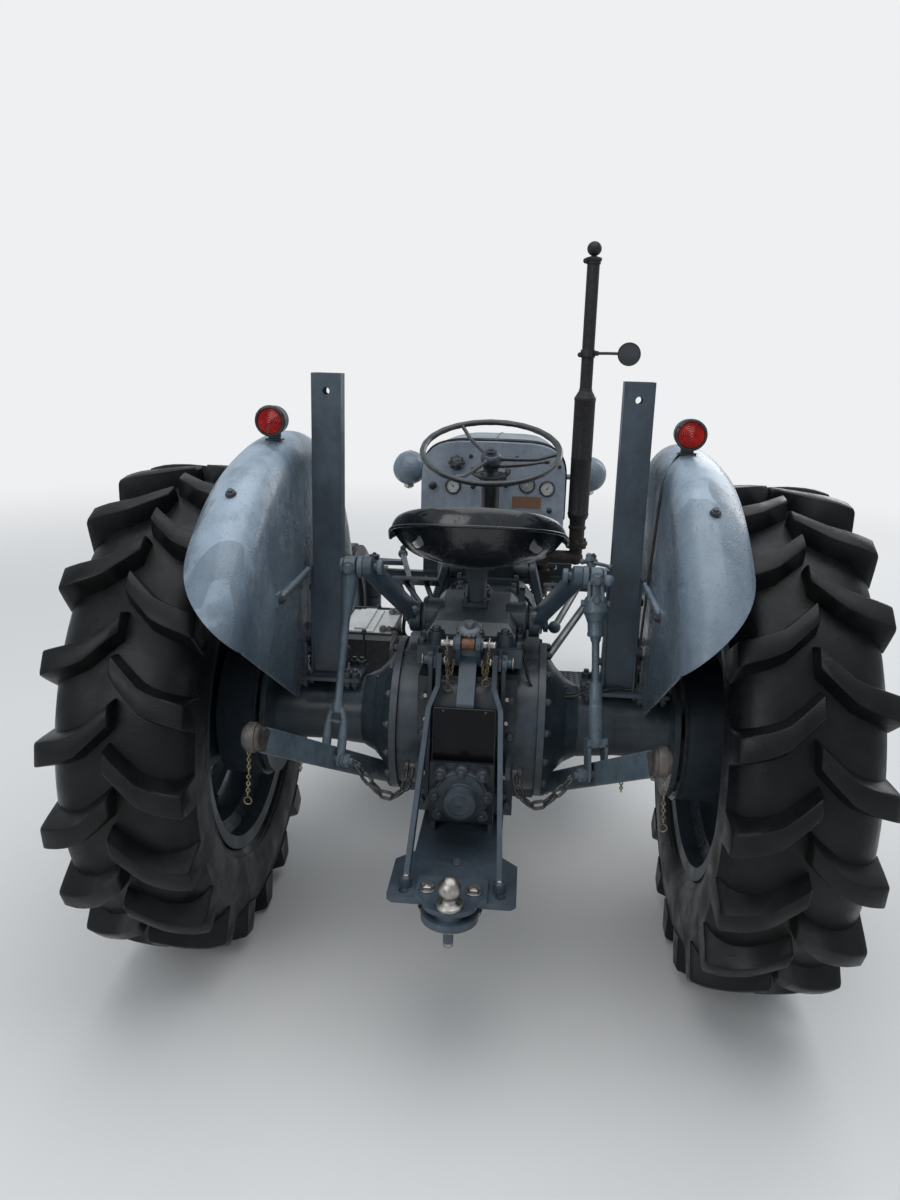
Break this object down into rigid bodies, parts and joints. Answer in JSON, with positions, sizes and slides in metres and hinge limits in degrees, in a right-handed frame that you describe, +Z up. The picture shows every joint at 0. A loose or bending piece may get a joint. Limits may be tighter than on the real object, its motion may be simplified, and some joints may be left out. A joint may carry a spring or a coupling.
{
  "type": "vintage tractor",
  "caption": "Small vintage farm tractor with lugged rear tyres, steered front wheels, rear lift linkage, tow hitch, tilting bonnet, pan seat and two upright roll-frame posts.",
  "frame": {"origin": "on the ground under the middle of the outline", "axes": "+Y forward towards the grille, +X to the right-hand side, +Z up"},
  "size_m": [1.737, 2.7679, 1.918],
  "materials": {
    "paint": "satin, weathered",
    "pale_paint": "satin, wet",
    "dark_paint": "satin, weathered",
    "tyre": "worn, wet",
    "black": "worn",
    "casting": "rusty",
    "chain": "rusty",
    "rusty": "rusty",
    "bronze": "dull",
    "case": "worn",
    "lamp": "red lens in a black rim"
  },
  "bodies": {
    "chassis": {"engine": "paint", "manifold": "casting", "engine_units": "dark_paint", "radiator": "black", "front_support": "paint", "front_axle": "paint", "gearbox": "paint", "steering_box": "paint", "rear_housing": "paint", "axle_housings": "paint", "wings": "pale_paint", "tail_lamps": "lamp", "posts": "paint", "seat": "black", "footplates": "dark_paint", "battery": "case", "pedals": "paint", "dash": "paint", "fuel_tank": "dark_paint", "exhaust": "rusty", "rear_mirror": "black", "hitch": "paint", "hitch_stays": "paint", "number_plate": "black", "top_link_rocker": "bronze", "check_chains": "chain"},
    "rear_wheel_left": {"rear_tyre_left": "tyre", "rear_rim_left": "dark_paint"},
    "rear_wheel_right": {"rear_tyre_right": "tyre", "rear_rim_right": "dark_paint"},
    "front_wheel_left": {"front_tyre_left": "tyre", "front_rim_left": "dark_paint"},
    "front_wheel_right": {"front_tyre_right": "tyre", "front_rim_right": "dark_paint"},
    "knuckle_left": {"knuckle_left": "paint"},
    "knuckle_right": {"knuckle_right": "paint"},
    "steering_wheel": {"steering_wheel": "black"},
    "drop_arm_left": {"drop_arm_left": "paint"},
    "drop_arm_right": {"drop_arm_right": "paint"},
    "drag_link_left": {"drag_link_left": "paint"},
    "drag_link_right": {"drag_link_right": "paint"},
    "lift_arms": {"lift_arms": "paint"},
    "lift_rod_left": {"lift_rod_left": "paint"},
    "lift_rod_right": {"lift_rod_right": "paint"},
    "lower_link_left": {"lower_link_left": "paint"},
    "lower_link_right": {"lower_link_right": "paint"},
    "bonnet": {"bonnet": "pale_paint", "grille": "dark_paint", "headlamps": "pale_paint"}
  },
  "joints": [
    {"name": "rear_wheel_left_roll", "type": "hinge", "parent": "chassis", "child": "rear_wheel_left", "pos_m": [-0.711, -0.756, 0.628], "axis": [1, 0, 0], "continuous": true},
    {"name": "rear_wheel_right_roll", "type": "hinge", "parent": "chassis", "child": "rear_wheel_right", "pos_m": [0.711, -0.756, 0.628], "axis": [1, 0, 0], "continuous": true},
    {"name": "steer_left", "type": "hinge", "parent": "chassis", "child": "knuckle_left", "pos_m": [-0.555, 1.022, 0.35], "axis": [0, 0, 1], "range_deg": [-35, 35]},
    {"name": "steer_right", "type": "hinge", "parent": "chassis", "child": "knuckle_right", "pos_m": [0.555, 1.022, 0.35], "axis": [0, 0, 1], "range_deg": [-35, 35]},
    {"name": "front_wheel_left_roll", "type": "hinge", "parent": "knuckle_left", "child": "front_wheel_left", "pos_m": [-0.66, 1.022, 0.35], "axis": [1, 0, 0], "continuous": true},
    {"name": "front_wheel_right_roll", "type": "hinge", "parent": "knuckle_right", "child": "front_wheel_right", "pos_m": [0.66, 1.022, 0.35], "axis": [1, 0, 0], "continuous": true},
    {"name": "steering_wheel_turn", "type": "hinge", "parent": "chassis", "child": "steering_wheel", "pos_m": [0, -0.07, 1.25], "axis": [0, -0.3518, 0.9361], "range_deg": [-490, 490]},
    {"name": "drop_arm_left_swing", "type": "hinge", "parent": "chassis", "child": "drop_arm_left", "pos_m": [-0.155, 0.11003, 0.826], "axis": [1, 0, 0], "range_deg": [-22.1, 22.1]},
    {"name": "drop_arm_right_swing", "type": "hinge", "parent": "chassis", "child": "drop_arm_right", "pos_m": [0.155, 0.11003, 0.826], "axis": [1, 0, 0], "range_deg": [-22.1, 22.1]},
    {"name": "drag_link_left_swing", "type": "hinge", "parent": "drop_arm_left", "child": "drag_link_left", "pos_m": [-0.238, 0.11003, 0.626], "axis": [1, 0, 0], "range_deg": [-22.1, 22.1]},
    {"name": "drag_link_right_swing", "type": "hinge", "parent": "drop_arm_right", "child": "drag_link_right", "pos_m": [0.238, 0.11003, 0.626], "axis": [1, 0, 0], "range_deg": [-22.1, 22.1]},
    {"name": "lift_arms_swing", "type": "hinge", "parent": "chassis", "child": "lift_arms", "pos_m": [0, -0.696, 0.874], "axis": [1, 0, 0], "range_deg": [0, 50]},
    {"name": "lower_link_left_swing", "type": "hinge", "parent": "chassis", "child": "lower_link_left", "pos_m": [-0.205, -0.656, 0.395], "axis": [1, 0, 0], "range_deg": [0, 32.5]},
    {"name": "lower_link_right_swing", "type": "hinge", "parent": "chassis", "child": "lower_link_right", "pos_m": [0.205, -0.656, 0.395], "axis": [1, 0, 0], "range_deg": [0, 32.5]},
    {"name": "lift_rod_left_swing", "type": "hinge", "parent": "lift_arms", "child": "lift_rod_left", "pos_m": [-0.29, -0.906, 1.05], "axis": [1, 0, 0], "range_deg": [-48.6, 0]},
    {"name": "lift_rod_right_swing", "type": "hinge", "parent": "lift_arms", "child": "lift_rod_right", "pos_m": [0.29, -0.906, 1.05], "axis": [1, 0, 0], "range_deg": [-48.6, 0]},
    {"name": "bonnet_tilt", "type": "hinge", "parent": "chassis", "child": "bonnet", "pos_m": [0, 1.306, 0.64], "axis": [-1, 0, 0], "range_deg": [0, 65]}
  ],
  "couplings": [
    {"joint": "steer_right", "follows": "steer_left", "ratio": 1},
    {"joint": "steering_wheel_turn", "follows": "steer_left", "ratio": 14},
    {"joint": "drop_arm_left_swing", "follows": "steer_left", "ratio": 0.63},
    {"joint": "drop_arm_right_swing", "follows": "steer_left", "ratio": -0.63},
    {"joint": "drag_link_left_swing", "follows": "steer_left", "ratio": -0.63},
    {"joint": "drag_link_right_swing", "follows": "steer_left", "ratio": 0.63},
    {"joint": "lower_link_left_swing", "follows": "lift_arms_swing", "ratio": 0.6492},
    {"joint": "lower_link_right_swing", "follows": "lift_arms_swing", "ratio": 0.6492},
    {"joint": "lift_rod_left_swing", "follows": "lift_arms_swing", "ratio": -0.9707},
    {"joint": "lift_rod_right_swing", "follows": "lift_arms_swing", "ratio": -0.9707}
  ]
}
